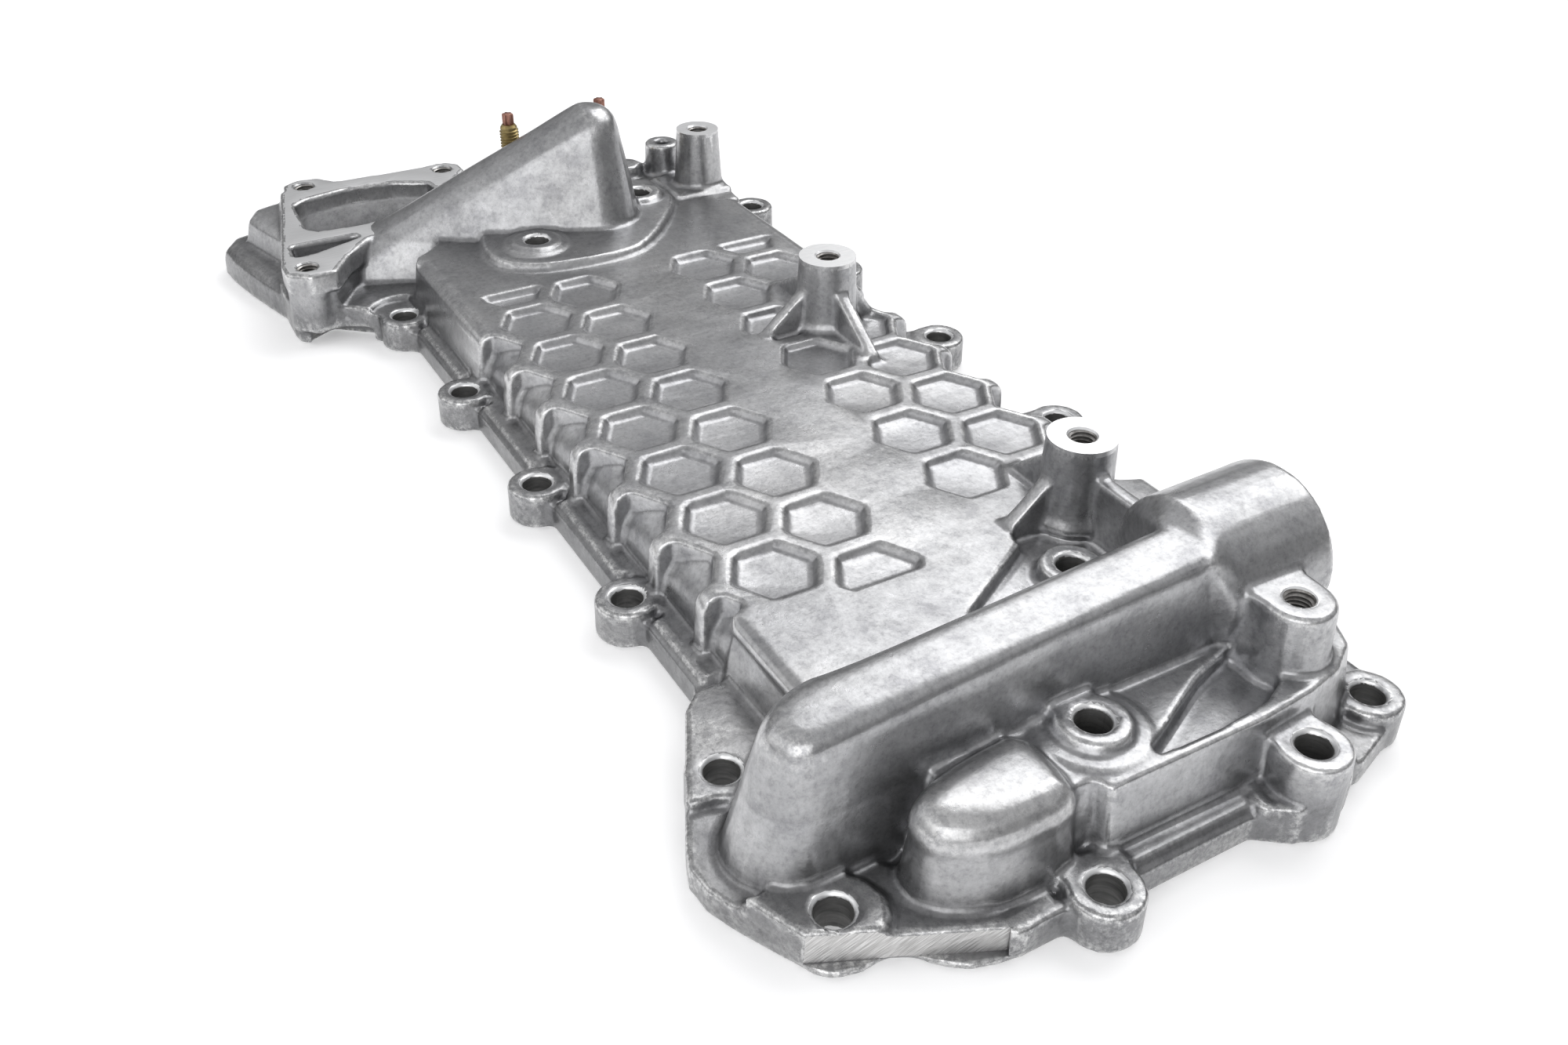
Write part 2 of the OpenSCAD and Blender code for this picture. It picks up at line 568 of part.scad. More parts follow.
// the chamber: rounded along the panel's sides, opened up under every raised form
module chamber() {
    intersection() {
        translate([chamber_x[0], 0, 0])
            rotate([90, 0, 90])
                linear_extrude(chamber_x[1] - chamber_x[0]) chamber_section();
        linear_extrude(60) polygon([[-224, -34], [-196, -60], [-186, -71], [-181, -74], [142, -74.6],
            [146, -57], [166, -57], [168, -54], [168, -44], [163, -43], [163, -29],
            [168, -28], [168, 30], [165, 46], [157.5, 55], [146, 61], [-216, 61], [-223, 52]]);
    }
    ridge_hollow(duct_feet, duct_crest, duct_spine, duct_round, wall);
    ridge_hollow([for (p = hump_feet) p + (p[1] < -60 ? [0, 12] : [0, 0])], hump_crest, hump_spine,
        hump_round, wall);
    pillow(inset(bulge_top, wall + 0.5), -2, panel_height + bulge_rise - wall, 0, 3, 2);
}

module chamber_section() {
    for (s = [0, 1])
        translate([s * 2 * panel_mid_y, 0]) mirror([s, 0]) intersection() {
            translate([chamber_y + chamber_round, boss_height])
                circle(r = chamber_round + (ceiling - boss_height - chamber_round), $fn = 96);
            translate([chamber_y - 5, boss_height]) square([60, 60]);
        }
    translate([chamber_y, -1])
        square([2 * (panel_mid_y - chamber_y), boss_height + 1.2]);
    translate([chamber_y + chamber_round, -1])
        square([2 * (panel_mid_y - chamber_y - chamber_round), ceiling + 1]);
}

module port_passage() {
    translate([0, 0, port_top - 9]) linear_extrude(20) polygon(port_opening);
    skin([at_height(inset(port_opening, -3), -2), at_height(inset(port_opening, -0.6), port_top - 8)]);
}

// material kept below the recesses and round the bolts and threads that cross the chamber
module chamber_fill() {
    translate([0, 0, ceiling - 4])
        linear_extrude(panel_height - recess_depth - ceiling + 3.5) polygon(inset(end_recess, -3));
    translate([0, 0, ceiling - 3])
        linear_extrude(panel_height - bolt_recess_depth - ceiling + 2.5)
            polygon(inset(bolt_recess, -3));
    for (b = inner_bolts) boss(b, 0, ceiling + 2, boss_radius, 0.02);
    for (p = stud_seats) boss(p, stud_seat_z - 4, stud_boss_top - 3, 7.9, 0.02);
    for (p = [near_post, mid_post, far_post])
        boss(p, min(post_top - thread_depth - 5, ceiling - 2), ceiling + 2, 8.4, 0.02);
    boss(lug_post, 14, lug_top - 4, 8.6, 0.02);
}

module bolt_holes() {
    for (p = concat(row_bolts, corner_bolts, rear_bolts, [end_bolt]))
        drilled(p, boss_height, bolt_hole, boss_height + 3);
    drilled(tall_bolt, tall_boss_height, bolt_hole, tall_boss_height + 3);
    drilled(lug_bolt, boss_height + 1, bolt_hole, boss_height + 4);
    for (b = inner_bolts) drilled(b, panel_height + b[2], bolt_hole, panel_height + b[2] + 3);
}

module threaded_holes() {
    for (p = [near_post, mid_post, far_post])
        drilled(p, post_top, 2 * tap_radius, thread_depth, mouth_radius - tap_radius);
    drilled(lug_post, lug_top, 2 * tap_radius, thread_depth, mouth_radius - tap_radius);
    for (p = port_bolts)
        drilled(p, port_top, 2 * tap_radius, thread_depth, 0);
    drilled(small_post, small_top, 0.85 * 2 * tap_radius, small_thread_depth, 0.6);
    for (p = stud_seats)
        translate([p[0], p[1], stud_seat_z])
            cylinder(h = stud_top - stud_seat_z, d = stud_diameter + stud_fit);
}

module cover() {
    color("silver") from_datum() difference() {
        union() {
            difference() {
                union() {
                    difference() {
                        outer_body();
                        recesses();
                    }
                    duct();
                }
                chamber();
            }
            pipe_stub();
            chamber_fill();
            inner_ring();
            posts();
        }
        // bore of the stub, on into the duct
        translate([pipe_axis[0], collar_y, pipe_axis[1]])
            rotate([-90, 0, 0]) cylinder(h = pipe_length + 1, d = pipe_bore, $fn = 96);
        // way clear for the pipe that goes into the stub
        translate([pipe_axis[0], pipe_end, pipe_axis[1]])
            rotate([-90, 0, 0]) cylinder(h = 12, d = pipe_diameter + 1.6, $fn = 96);
        translate([duct_mid - 7, 0, panel_height - 3])
            cube([12, collar_y + 1, duct_rise - wall]);
        port_passage();
        translate([0, 0, port_top - 7]) linear_extrude(10) polygon(port_slot);
        bolt_holes();
        threaded_holes();
        // clearance for the bolt head beside the port tower, and the gap under the base plate
        translate([row_bolts[0][0], row_bolts[0][1], boss_height + 0.01])
            intersection() {
                cylinder(h = 18, r = seat_clearance);
                translate([-30, -30, 0]) cube([60, 36, 10]);
            }
        translate([0, 0, -1]) linear_extrude(foot_gap_z + 1)
            polygon([[-193, -122], [-180, -103], [-186, -93.5], [-200, -110]]);
    }
}

// raised seat of the covered inner bolt, inside its recess
module inner_ring() {
    boss(inner_bolts[1], ceiling, panel_height + inner_bolts[1][2], boss_radius, 0.03);
}

module from_datum() {
    translate([-datum_hole[0], -datum_hole[1], 0]) children();
}

// Studs

module stud(p) {
    shank = stud_diameter / 2;
    drive = 0.3 * stud_diameter;
    from_datum() translate([p[0], p[1], stud_seat_z]) {
        cylinder(h = stud_top - drive_length - stud_seat_z - 1, r = shank);
        translate([0, 0, stud_top - drive_length - stud_seat_z - 1])
            cylinder(h = 1.2, r1 = shank, r2 = shank - 1.2);
        translate([0, 0, stud_top - drive_length - stud_seat_z - 0.5])
            linear_extrude(drive_length + 0.5) {
                circle(r = 0.8 * drive, $fn = 24);
                for (a = [0 : 60 : 300])
                    rotate([0, 0, a]) translate([0.76 * drive, 0]) circle(r = 0.24 * drive, $fn = 16);
            }
    }
}

module stud_inboard() color("goldenrod") stud(stud_seats[0]);

module stud_outboard() color("goldenrod") stud(stud_seats[1]);

cover();
stud_inboard();
stud_outboard();
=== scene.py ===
"""Look of a cast oil cooler cover: rounded casting skin, machined faces, threads and studs."""
import math

import bpy
import numpy as np
import openvdb as vdb
from mathutils import Matrix, Vector

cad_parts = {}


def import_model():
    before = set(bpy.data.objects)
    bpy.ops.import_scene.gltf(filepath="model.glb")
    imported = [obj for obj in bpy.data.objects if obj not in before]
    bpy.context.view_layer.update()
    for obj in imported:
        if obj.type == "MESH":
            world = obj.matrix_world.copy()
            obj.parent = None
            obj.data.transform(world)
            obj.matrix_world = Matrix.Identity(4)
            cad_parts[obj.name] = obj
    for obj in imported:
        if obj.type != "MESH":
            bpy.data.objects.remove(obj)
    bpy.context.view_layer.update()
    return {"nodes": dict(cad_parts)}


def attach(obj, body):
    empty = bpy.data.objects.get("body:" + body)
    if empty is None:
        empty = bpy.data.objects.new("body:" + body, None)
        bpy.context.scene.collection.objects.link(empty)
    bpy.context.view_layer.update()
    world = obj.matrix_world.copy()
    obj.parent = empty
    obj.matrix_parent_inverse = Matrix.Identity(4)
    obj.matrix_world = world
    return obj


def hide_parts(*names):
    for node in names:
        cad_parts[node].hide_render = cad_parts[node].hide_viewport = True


MM = 0.001
DATUM = (31.2, -87.0)          # plan position of the datum bolt hole, where the frame's origin is
PLAN_ORIGIN = np.array([*DATUM, 0], np.float32)

# heights in mm
BOSS_TOP = 12.0
TALL_TOP = 24.0
PANEL_TOP = 30.0
LUG_TOP = 47.0
POST_TOP = 55.0

# bolt holes: plan places in mm, and the height of the mouth where it isn't the bosses'
ROW_PITCH = 69.1
REAR_PITCH = 71.8
ROW_BOLTS = [(DATUM[0] - ROW_PITCH * i, DATUM[1]) for i in range(4)]
REAR_BOLTS = [(11.5 + REAR_PITCH * i, 87.2) for i in (1, 0, -1, -2)] + [(-210.0, 87.4)]
CORNER_BOLTS = [(157.2, -95.0), (106.4, -96.1), (182.0, -37.6)]
BOLTS = [(*place, BOSS_TOP) for place in ROW_BOLTS + REAR_BOLTS + CORNER_BOLTS] + [
    (180.0, 27.4, TALL_TOP), (166.0, 66.3, BOSS_TOP + 1),
    (154.4, -21.8, 34.0), (100.7, 16.8, 31.2), (-169.2, -32.3, 35.0), (-196.1, 24.7, 35.0)]
BOLT_RADIUS = 4.6
BOLT_CHAMFER = 0.9
PAST_FLANGE = 4.0              # how far the drill comes out below the gasket face

# threaded holes: place, height of the mouth and depth, in mm
POSTS = [(78.1, 35.2, 10.2), (-62.2, 36.5, 10.2), (-202.8, 56.7, 9.0)]      # x, y, radius
LUG_POST = (155.4, 41.4)
PORT_BOLTS = [(-281.8, -95.8), (-273.6, -36.4), (-197.5, -116.2)]
THREAD_RADIUS = 4.0
THREAD_PITCH = 1.25
THREAD_DEPTH = 20.0
THREAD_CHAMFER = 0.6
PORT_DEPTH = THREAD_DEPTH - 0.4
TAPPED = [(x, y, POST_TOP, THREAD_DEPTH) for x, y, _ in POSTS]
TAPPED += [(*LUG_POST, LUG_TOP, THREAD_DEPTH)]
TAPPED += [(x, y, PANEL_TOP, PORT_DEPTH) for x, y in PORT_BOLTS]

STUDS = {"stud_inboard": (-222.0, -21.0), "stud_outboard": (-222.0, 20.0)}
STUD_SEAT = 25.0
STUD_TIP = 68.0
STUD_RADIUS = 3.45             # at the bottom of its thread
DRIVE_LENGTH = 4.5

# band ground across the lobed corner: a point of its face, its direction in plan and the cut's box
BAND_ORIGIN = (161.3, -101.6)
BAND_ANGLE = 65.2
BAND_DEPTH = 0.15
BAND_BOX = ((-3, -12, 2.2), (43, BAND_DEPTH, 20))

# rounding of the casting, in mm
VOXEL = 0.7
FILLET = 1.2
EDGE = 0.6
SKIN_TRIANGLES = 185000

TURN_STEPS = 40                # steps in one turn of a thread
# slots of the skin's materials; the bore slot's material paints shade inside the holes
CAST, MACHINED, GROUND, BORE_SHADE = range(4)


def place(x, y, z):
    """Plan position in mm to the frame in metres."""
    return Vector(((x - DATUM[0]) * MM, (y - DATUM[1]) * MM, z * MM))


def arrays(obj):
    """Vertices (in plan mm) and triangles of a mesh object."""
    mesh = obj.data
    mesh.calc_loop_triangles()
    points = np.empty(len(mesh.vertices) * 3, np.float32)
    mesh.vertices.foreach_get("co", points)
    points = points.reshape(-1, 3) / MM + PLAN_ORIGIN
    corners = np.empty(len(mesh.loop_triangles) * 3, np.int32)
    mesh.loop_triangles.foreach_get("vertices", corners)
    return points.astype(np.float32), corners.reshape(-1, 3)


def build(name, points, faces, smooth=False):
    """Mesh object from plan points in mm."""
    points = np.asarray(points, float) - np.array([*DATUM, 0])
    mesh = bpy.data.meshes.new(name)
    mesh.from_pydata((points * MM).tolist(), [], faces)
    mesh.update()
    if smooth:
        mesh.shade_smooth()
    obj = bpy.data.objects.new(name, mesh)
    bpy.context.scene.collection.objects.link(obj)
    return obj


def offset(points, triangles, quads, distance, reach):
    """Surface at a distance from a closed mesh, from distances that are known up to reach."""
    options = {"transform": vdb.createLinearTransform(voxelSize=VOXEL),
               "halfWidth": reach / VOXEL + 2}
    if triangles is not None and len(triangles):
        options["triangles"] = triangles
    if quads is not None and len(quads):
        options["quads"] = quads
    grid = vdb.FloatGrid.createLevelSetFromPolygons(points, **options)
    return grid.convertToPolygons(isovalue=distance, adaptivity=0.0)


def soften(points, triangles):
    """Round the inner corners by FILLET and the outer edges by EDGE."""
    grown = offset(points, triangles, None, FILLET, FILLET)
    shrunk = offset(*grown, -(FILLET + EDGE), FILLET + EDGE)
    return offset(*shrunk, EDGE, EDGE + 1)


def apply_modifier(obj, kind, **settings):
    """Run one modifier and keep its result as the object's mesh."""
    modifier = obj.modifiers.new(kind.lower(), kind)
    for key, value in settings.items():
        setattr(modifier, key, value)
    graph = bpy.context.evaluated_depsgraph_get()
    mesh = bpy.data.meshes.new_from_object(obj.evaluated_get(graph))
    obj.modifiers.clear()
    old = obj.data
    obj.data = mesh
    bpy.data.meshes.remove(old)


def join(objects, name):
    """One object out of several."""
    bpy.ops.object.select_all(action="DESELECT")
    for o in objects:
        o.select_set(True)
    bpy.context.view_layer.objects.active = objects[0]
    bpy.ops.object.join()
    joined = bpy.context.view_layer.objects.active
    joined.name = name
    return joined


def boolean(obj, tool, operation):
    """Add or cut away a tool, which is used up."""
    apply_modifier(obj, "BOOLEAN", operation=operation, solver="MANIFOLD", object=tool)
    mesh = tool.data
    bpy.data.objects.remove(tool)
    bpy.data.meshes.remove(mesh)


def polar(x, y, radius, angle, z):
    return (x + radius * math.cos(angle), y + radius * math.sin(angle), z)


def turn(steps):
    """Angles of one full turn."""
    return [2 * math.pi * i / steps for i in range(steps)]


def loft(name, rings, smooth=False):
    """Closed solid through rings of as many points each, from the bottom up."""
    count = len(rings[0])
    faces = []
    for j in range(len(rings) - 1):
        low, high = j * count, (j + 1) * count
        for i in range(count):
            k = (i + 1) % count
            faces.append((low + i, low + k, high + k, high + i))
    top = (len(rings) - 1) * count
    faces.append(tuple(reversed(range(count))))
    faces.append(tuple(range(top, top + count)))
    return build(name, [point for ring in rings for point in ring], faces, smooth)


def lathe(name, x, y, profile, segments=48):
    """Solid turned about a vertical axis; profile lists radius and height from the bottom up."""
    return loft(name, [[polar(x, y, r, a, z) for a in turn(segments)] for r, z in profile])


def block(name, origin, degrees, low, high):
    """Box from low to high in a frame turned about the vertical axis at origin."""
    c, s = math.cos(math.radians(degrees)), math.sin(math.radians(degrees))
    points = []
    for z in (low[2], high[2]):
        for u, v in ((low[0], low[1]), (high[0], low[1]), (high[0], high[1]), (low[0], high[1])):
            points.append((origin[0] + u * c - v * s, origin[1] + u * s + v * c, z))
    faces = [(3, 2, 1, 0), (4, 5, 6, 7), (0, 1, 5, 4), (1, 2, 6, 5), (2, 3, 7, 6), (3, 0, 4, 7)]
    return build(name, points, faces)


def drill(x, y, top, radius, depth, chamfer):
    """Cutter for a hole with a countersunk mouth."""
    above = top + 6
    return lathe("cutter", x, y, [(radius, top - depth), (radius, top - chamfer),
                                  (radius + chamfer, top), (radius + chamfer, above)])


def cut_machining(skin):
    """Sharp machined detail: post tops, drilled holes and the ground band."""
    disc = 1.6
    discs = [lathe("disc", x, y, [(r, POST_TOP - disc), (r, POST_TOP)], 64) for x, y, r in POSTS]
    boolean(skin, join(discs, "discs"), "UNION")
    cutters = [drill(x, y, top, BOLT_RADIUS, top + PAST_FLANGE, BOLT_CHAMFER)
               for x, y, top in BOLTS]
    cutters += [drill(x, y, top, THREAD_RADIUS, depth, THREAD_CHAMFER)
                for x, y, top, depth in TAPPED]
    boolean(skin, join(cutters, "cutters"), "DIFFERENCE")
    boolean(skin, block("band", BAND_ORIGIN, BAND_ANGLE, *BAND_BOX), "DIFFERENCE")


def helix(name, x, y, start, pitch, count, ridge, fade):
    """Ridge of a thread from the height start; it runs down where the pitch is negative.

    ridge says the radius of its foot, the radius its crest rises from, how far the crest rises,
    and half the width of foot and crest. fade says how much of the rise a step has.
    """
    foot, base, rise, wide, narrow = ridge
    wide, narrow = math.copysign(wide, pitch), math.copysign(narrow, pitch)
    points, faces = [], []
    for i in range(count + 1):
        angle = 2 * math.pi * i / TURN_STEPS
        z = start + pitch * i / TURN_STEPS
        crest = base + rise * fade(i)
        for r, dz in ((foot, -wide), (crest, -narrow), (crest, narrow), (foot, wide)):
            points.append(polar(x, y, r, angle, z + dz))
    for i in range(count):
        for k in range(4):
            a, b = 4 * i + k, 4 * i + (k + 1) % 4
            faces.append((a, b, b + 4, a + 4))
    faces.append((0, 3, 2, 1))
    faces.append(tuple(range(4 * count, 4 * count + 4)))
    return build(name, points, faces)


def inner_thread(name, x, y, top):
    """Thread of a tapped hole, fading in below the mouth."""
    mouth, turns, fade_turns = 0.7, 15, 0.6
    ridge = (THREAD_RADIUS + 0.05, THREAD_RADIUS, -0.62, 0.52, 0.09)
    return helix(name, x, y, top - mouth, -THREAD_PITCH, turns * TURN_STEPS, ridge,
                 lambda i: min(1.0, i / (fade_turns * TURN_STEPS)))


def stud(name, x, y):
    """Plated stud: chamfered threaded shank and a six-lobed drive."""
    shoulder = STUD_TIP - DRIVE_LENGTH
    bare = (1.0, 1.2)           # lengths without a thread at the bottom and at the top
    lobes, lobe_radius, lobe_height, steps = 6, 2.06, 0.32, 72
    shank = lathe("shank", x, y, [
        (3.0, STUD_SEAT), (STUD_RADIUS, STUD_SEAT + 0.5), (STUD_RADIUS, shoulder - 1.0),
        (2.7, shoulder), (2.2, shoulder + 0.1)])
    count = int(TURN_STEPS * (shoulder - STUD_SEAT - sum(bare)) / THREAD_PITCH)
    ridge = (STUD_RADIUS - 0.1, STUD_RADIUS - 0.05, 0.55, 0.56, 0.08)
    thread = helix("thread", x, y, STUD_SEAT + bare[0], THREAD_PITCH, count, ridge,
                   lambda i: min(1.0, i / TURN_STEPS, (count - i) / TURN_STEPS))
    outline = [(lobe_radius + lobe_height * math.cos(lobes * a), a) for a in turn(steps)]
    levels = [(0.98, shoulder - 0.2), (1.0, shoulder + 0.3), (1.0, STUD_TIP - 0.5),
              (0.9, STUD_TIP - 0.1), (0.82, STUD_TIP)]
    rings = [[polar(x, y, scale * r, a, z) for r, a in outline] for scale, z in levels]
    tip = loft(name + "_drive", rings, smooth=True)
    return join([shank, thread], name + "_shank"), tip


# Materials

class Nodes:
    """A metal's or the floor's node tree. Positions in a ramp run from 0 to 1."""

    def __init__(self, name):
        self.material = bpy.data.materials.new(name)
        self.material.use_nodes = True
        self.tree = self.material.node_tree
        self.tree.nodes.clear()
        self.output = self.add("ShaderNodeOutputMaterial")
        self.shader = self.add("ShaderNodeBsdfPrincipled")
        self.link(self.shader, "BSDF", self.output, "Surface")
        self.coords = self.add("ShaderNodeTexCoord")

    def add(self, kind, **inputs):
        node = self.tree.nodes.new(kind)
        for key, value in inputs.items():
            node.inputs[key.replace("_", " ")].default_value = value
        return node

    def link(self, a, out, b, into):
        self.tree.links.new(a.outputs[out], b.inputs[into])

    def noise(self, scale, detail, roughness, stretch=None, source=None):
        """Noise over the object in metres, or over the vector of a source node."""
        node = self.add("ShaderNodeTexNoise", Scale=scale, Detail=detail, Roughness=roughness)
        if stretch:
            source = self.add("ShaderNodeMapping", Scale=stretch)
            self.link(self.coords, "Object", source, "Vector")
        if source:
            self.link(source, "Vector", node, "Vector")
        else:
            self.link(self.coords, "Object", node, "Vector")
        return node

    def ramp(self, source, out, stops):
        """Colour ramp; a stop's value is a colour or a grey level."""
        node = self.add("ShaderNodeValToRGB")
        fill_ramp(node.color_ramp, stops)
        self.link(source, out, node, "Fac")
        return node

    def grey(self, source, out, low, high, a, b):
        """Map a value between two positions to two grey levels."""
        return self.ramp(source, out, [(low, a), (high, b)])

    def maths(self, operation, source, out, *values):
        node = self.add("ShaderNodeMath")
        node.operation = operation
        self.link(source, out, node, 0)
        for i, value in enumerate(values, 1):
            node.inputs[i].default_value = value
        return node

    def result(self, node):
        return node.outputs[2] if node.bl_idname == "ShaderNodeMix" else node.outputs["Color"]

    def mix(self, one, other=None, blend="MIX"):
        node = self.add("ShaderNodeMix")
        node.data_type = "RGBA"
        node.blend_type = blend
        self.tree.links.new(self.result(one), node.inputs[6])
        if other:
            self.tree.links.new(self.result(other), node.inputs[7])
        return node

    def multiply(self, one, other):
        node = self.mix(one, other, "MULTIPLY")
        node.inputs[0].default_value = 1.0
        return node

    def bump(self, source, strength, distance, before=None):
        node = self.add("ShaderNodeBump", Strength=strength, Distance=distance)
        self.link(source, "Fac", node, "Height")
        if before:
            self.link(before, "Normal", node, "Normal")
        return node

    def finish(self, colour, metallic, rough=None, bump=None):
        """Wire the shader and return the material."""
        self.tree.links.new(self.result(colour), self.shader.inputs["Base Color"])
        self.shader.inputs["Metallic"].default_value = metallic
        if rough:
            self.link(rough, "Color", self.shader, "Roughness")
        if bump:
            self.link(bump, "Normal", self.shader, "Normal")
        return self.material


def fill_ramp(ramp, stops):
    elements = ramp.elements
    while len(elements) < len(stops):
        elements.new(0.5)
    for element, (position, value) in zip(elements, stops):
        element.position = position
        element.color = (*value, 1) if isinstance(value, tuple) else (value, value, value, 1)


def cast_metal():
    """Tumbled casting: cloudy grey with speckles and stains, painted shade in the hollows and
    painted highlights, partly rubbed wear, on the edges.
    """
    n = Nodes("cast_aluminium")
    clouds = n.noise(24, 5, 0.62)
    stains = n.noise(110, 6, 0.72)
    speckle = n.noise(620, 6, 0.75)
    scratches = n.noise(260, 4, 0.65, (1.0, 0.10, 0.5))
    skin = n.noise(340, 4, 0.6)
    geometry = n.add("ShaderNodeNewGeometry")
    tone = n.ramp(clouds, "Fac", [(0.34, (0.350, 0.352, 0.362)), (0.5, (0.385, 0.387, 0.395)),
                                  (0.66, (0.420, 0.420, 0.425))])
    blotch = n.ramp(stains, "Fac", [(0.36, (0.80, 0.80, 0.81)), (0.47, 0.97), (0.62, 1.07)])
    dots = n.ramp(speckle, "Fac", [(0.36, 0.82), (0.48, 1.0), (0.64, 1.12)])
    lines = n.ramp(scratches, "Fac", [(0.36, 0.95), (0.50, 1.0), (0.64, 1.05)])
    # painted shade darkens the creases and a painted highlight brightens the edges, partly rubbed
    # wear
    shade_highlight_and_wear = n.ramp(geometry, "Pointiness", [(0.44, (0.60, 0.60, 0.61)), (0.495, 0.98),
                                           (0.508, 1.02), (0.56, (1.5, 1.5, 1.49))])
    # grey by the distance from the panel's top, in mm: painted shade low down towards the flange,
    # pocket floors lighter than the rib tops
    steps = ((-18, 0.64), (-12, 0.96), (-3.4, 1.08), (-1.8, 1.12), (-0.7, 0.90), (0.3, 0.90),
             (1.2, 0.97))
    span = 50
    axes = n.add("ShaderNodeSeparateXYZ")
    n.link(n.coords, "Object", axes, "Vector")
    height = n.maths("MULTIPLY", axes, "Z", 1 / (span * MM))
    shade_by_height = n.ramp(height, "Value", [((PANEL_TOP + z) / span, v) for z, v in steps])
    # darker towards the port end
    along = n.maths("MULTIPLY_ADD", axes, "X", 2.0, 0.66)
    port_end_darkening = n.grey(along, "Value", 0.10, 0.50, 0.88, 1.0)
    colour = tone
    for layer in (blotch, dots, lines, shade_by_height, port_end_darkening, shade_highlight_and_wear):
        colour = n.multiply(colour, layer)
    rub = n.grey(geometry, "Pointiness", 0.502, 0.530, 0.0, 1.0)
    flecks = n.grey(n.noise(520, 6, 0.8), "Fac", 0.44, 0.60, 0.0, 0.9)
    worn = n.mix(colour)
    n.tree.links.new(n.result(n.multiply(rub, flecks)), worn.inputs[0])
    worn.inputs[7].default_value = (0.72, 0.72, 0.715, 1)
    rough = n.grey(stains, "Fac", 0.34, 0.64, 0.33, 0.27)
    bump = n.bump(skin, 0.15, 0.0005)
    bump = n.bump(scratches, 0.10, 0.0002, bump)
    bump = n.bump(speckle, 0.14, 0.0002, bump)
    return n.finish(worn, 0.93, rough, bump)


def machined_metal():
    """Milled faces: pale, with fine lines of the tool."""
    n = Nodes("machined_aluminium")
    lines = n.noise(900, 2, 0.5, (1.0, 0.08, 1.0))
    tone = n.ramp(lines, "Fac", [(0.3, (0.74, 0.745, 0.75)), (0.7, (0.86, 0.862, 0.866))])
    rough = n.grey(lines, "Fac", 0.3, 0.7, 0.42, 0.3)
    return n.finish(tone, 0.9, rough, n.bump(lines, 0.12, 0.0002))


def thread_shade_metal():
    """Tapped threads: painted shade on the flanks, mottled by noise."""
    n = Nodes("thread_aluminium")
    mottle = n.noise(500, 3, 0.6)
    tone = n.ramp(mottle, "Fac", [(0.35, (0.20, 0.19, 0.18)), (0.65, (0.42, 0.41, 0.40))])
    return n.finish(tone, 0.85, n.grey(mottle, "Fac", 0.3, 0.7, 0.45, 0.3))


def bore_shade_metal():
    """Drilled walls: dull, and dark with painted shade, with faint rings of the drill."""
    n = Nodes("bore_painted_shade_aluminium")
    rings = n.noise(700, 3, 0.6, (0.15, 0.15, 1.0))
    tone = n.ramp(rings, "Fac", [(0.3, 0.13), (0.7, (0.27, 0.268, 0.262))])
    rough = n.grey(rings, "Fac", 0.3, 0.7, 0.5, 0.38)
    return n.finish(tone, 0.75, rough, n.bump(rings, 0.3, 0.0002))


def ground_metal():
    """Band ground by a coarse wheel: fine slanted marks side by side."""
    n = Nodes("ground_aluminium")
    c, s = math.cos(math.radians(BAND_ANGLE)), math.sin(math.radians(BAND_ANGLE))
    slant = n.add("ShaderNodeCombineXYZ")
    for axis, side, squeeze in (("X", -1, 1.0), ("Y", 1, 0.045)):
        dot = n.add("ShaderNodeVectorMath")
        dot.operation = "DOT_PRODUCT"
        n.link(n.coords, "Object", dot, "Vector")
        dot.inputs[1].default_value = (c * squeeze, s * squeeze, side * squeeze)
        n.link(dot, "Value", slant, axis)
    marks = n.noise(2100, 3, 0.6, source=slant)
    tone = n.ramp(marks, "Fac", [(0.36, (0.42, 0.415, 0.41)), (0.52, (0.60, 0.595, 0.59)),
                                 (0.64, (0.76, 0.755, 0.75))])
    n.shader.inputs["Roughness"].default_value = 0.42
    return n.finish(tone, 0.88, bump=n.bump(marks, 0.5, 0.0003))


def plated_metal(name, dark, light):
    """Zinc plating, cloudy between two colours."""
    n = Nodes(name)
    clouds = n.noise(300, 4, 0.6)
    tone = n.ramp(clouds, "Fac", [(0.35, dark), (0.65, light)])
    return n.finish(tone, 0.85, n.grey(clouds, "Fac", 0.3, 0.7, 0.45, 0.3))


def floor_material():
    """Pale floor that keeps the object's soft shadow and reads as white around it."""
    n = Nodes("floor")
    n.shader.inputs["Base Color"].default_value = (0.88, 0.88, 0.885, 1)
    n.shader.inputs["Roughness"].default_value = 0.9
    n.shader.inputs["Specular IOR Level"].default_value = 0.1
    path = n.add("ShaderNodeLightPath")
    seen, out = path, "Is Camera Ray"
    for ray in ("Is Glossy Ray", "Is Transmission Ray"):
        either = n.maths("MAXIMUM", seen, out)
        n.link(path, ray, either, 1)
        seen, out = either, "Value"
    dark = n.add("ShaderNodeEmission", Strength=0.0)
    glow = n.add("ShaderNodeEmission", Strength=0.26)
    pick = n.add("ShaderNodeMixShader")
    n.link(seen, out, pick, 0)
    n.link(dark, "Emission", pick, 1)
    n.link(glow, "Emission", pick, 2)
    total = n.add("ShaderNodeAddShader")
    n.link(n.shader, "BSDF", total, 0)
    n.link(pick, "Shader", total, 1)
    n.link(total, "Shader", n.output, "Surface")
    return n.material


# Casting

